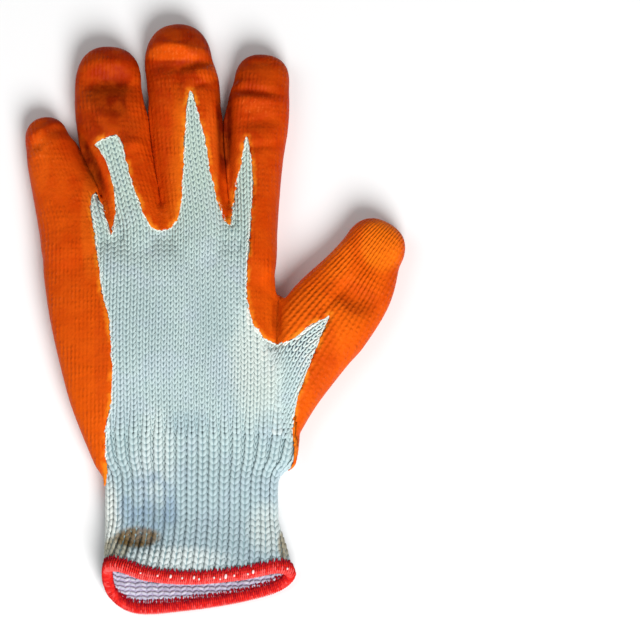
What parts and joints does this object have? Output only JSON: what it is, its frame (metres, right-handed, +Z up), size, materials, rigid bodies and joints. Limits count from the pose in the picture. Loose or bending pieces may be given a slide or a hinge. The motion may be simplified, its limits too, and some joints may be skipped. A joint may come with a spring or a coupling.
{
  "type": "latex-dipped knitted work glove",
  "caption": "Left-hand knitted work glove, palm and fingertips dipped in orange latex, with a ribbed cuff and a red overlocked hem, lying palm down.",
  "frame": {"origin": "on the surface that the glove lies on, under the middle of its plan", "axes": "+Y from the cuff to the fingertips, +X to the thumb's side, +Z up through the back of the hand"},
  "size_m": [0.1537, 0.2446, 0.0209],
  "materials": {
    "knit": "matt",
    "latex": "satin",
    "rib_knit": "matt",
    "red_thread": "matt"
  },
  "bodies": {
    "root": {"knit_hand": "knit", "latex_skin": "latex", "rib_cuff": "rib_knit", "overlock_hem": "red_thread"}
  },
  "joints": []
}
